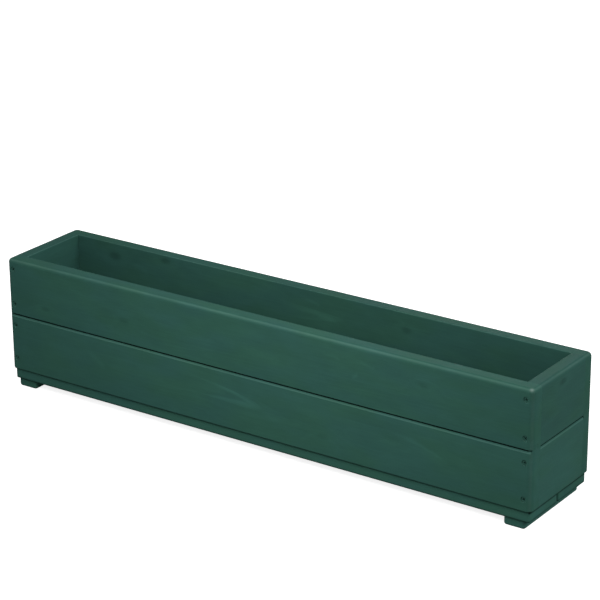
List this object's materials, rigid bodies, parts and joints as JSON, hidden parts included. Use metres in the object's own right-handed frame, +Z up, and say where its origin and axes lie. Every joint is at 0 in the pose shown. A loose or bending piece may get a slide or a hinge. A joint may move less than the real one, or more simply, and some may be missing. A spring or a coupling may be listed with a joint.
{
  "type": "window box planter",
  "caption": "Long narrow open wooden box with tongue-and-groove walls, screwed corners, a gapped base and batten feet, for growing plants on a sill or floor.",
  "frame": {"origin": "on the surface that the feet stand on, under the centre of the box", "axes": "+X along the length towards the right end, -Y towards the front face, +Z up"},
  "size_m": [0.9, 0.162, 0.2068],
  "materials": {
    "painted_wood": "dull satin dark green paint over planed softwood, grain faintly showing",
    "painted_steel": "countersunk screw heads painted over with the wood"
  },
  "bodies": {
    "root": {"front_lower_board": "painted_wood", "front_upper_board": "painted_wood", "back_lower_board": "painted_wood", "back_upper_board": "painted_wood", "right_end_lower_board": "painted_wood", "right_end_upper_board": "painted_wood", "left_end_lower_board": "painted_wood", "left_end_upper_board": "painted_wood", "base_board_front": "painted_wood", "base_board_back": "painted_wood", "foot_batten_left": "painted_wood", "foot_batten_right": "painted_wood", "front_left_screw_1": "painted_steel", "front_left_screw_2": "painted_steel", "front_left_screw_3": "painted_steel", "front_left_screw_4": "painted_steel", "front_right_screw_1": "painted_steel", "front_right_screw_2": "painted_steel", "front_right_screw_3": "painted_steel", "front_right_screw_4": "painted_steel", "back_left_screw_1": "painted_steel", "back_left_screw_2": "painted_steel", "back_left_screw_3": "painted_steel", "back_left_screw_4": "painted_steel", "back_right_screw_1": "painted_steel", "back_right_screw_2": "painted_steel", "back_right_screw_3": "painted_steel", "back_right_screw_4": "painted_steel", "base_front_screw_1": "painted_steel", "base_front_screw_2": "painted_steel", "base_front_screw_3": "painted_steel", "base_front_screw_4": "painted_steel", "base_back_screw_1": "painted_steel", "base_back_screw_2": "painted_steel", "base_back_screw_3": "painted_steel", "base_back_screw_4": "painted_steel", "left_foot_screw_1": "painted_steel", "left_foot_screw_2": "painted_steel", "left_foot_screw_3": "painted_steel", "left_foot_screw_4": "painted_steel", "right_foot_screw_1": "painted_steel", "right_foot_screw_2": "painted_steel", "right_foot_screw_3": "painted_steel", "right_foot_screw_4": "painted_steel"}
  },
  "joints": []
}
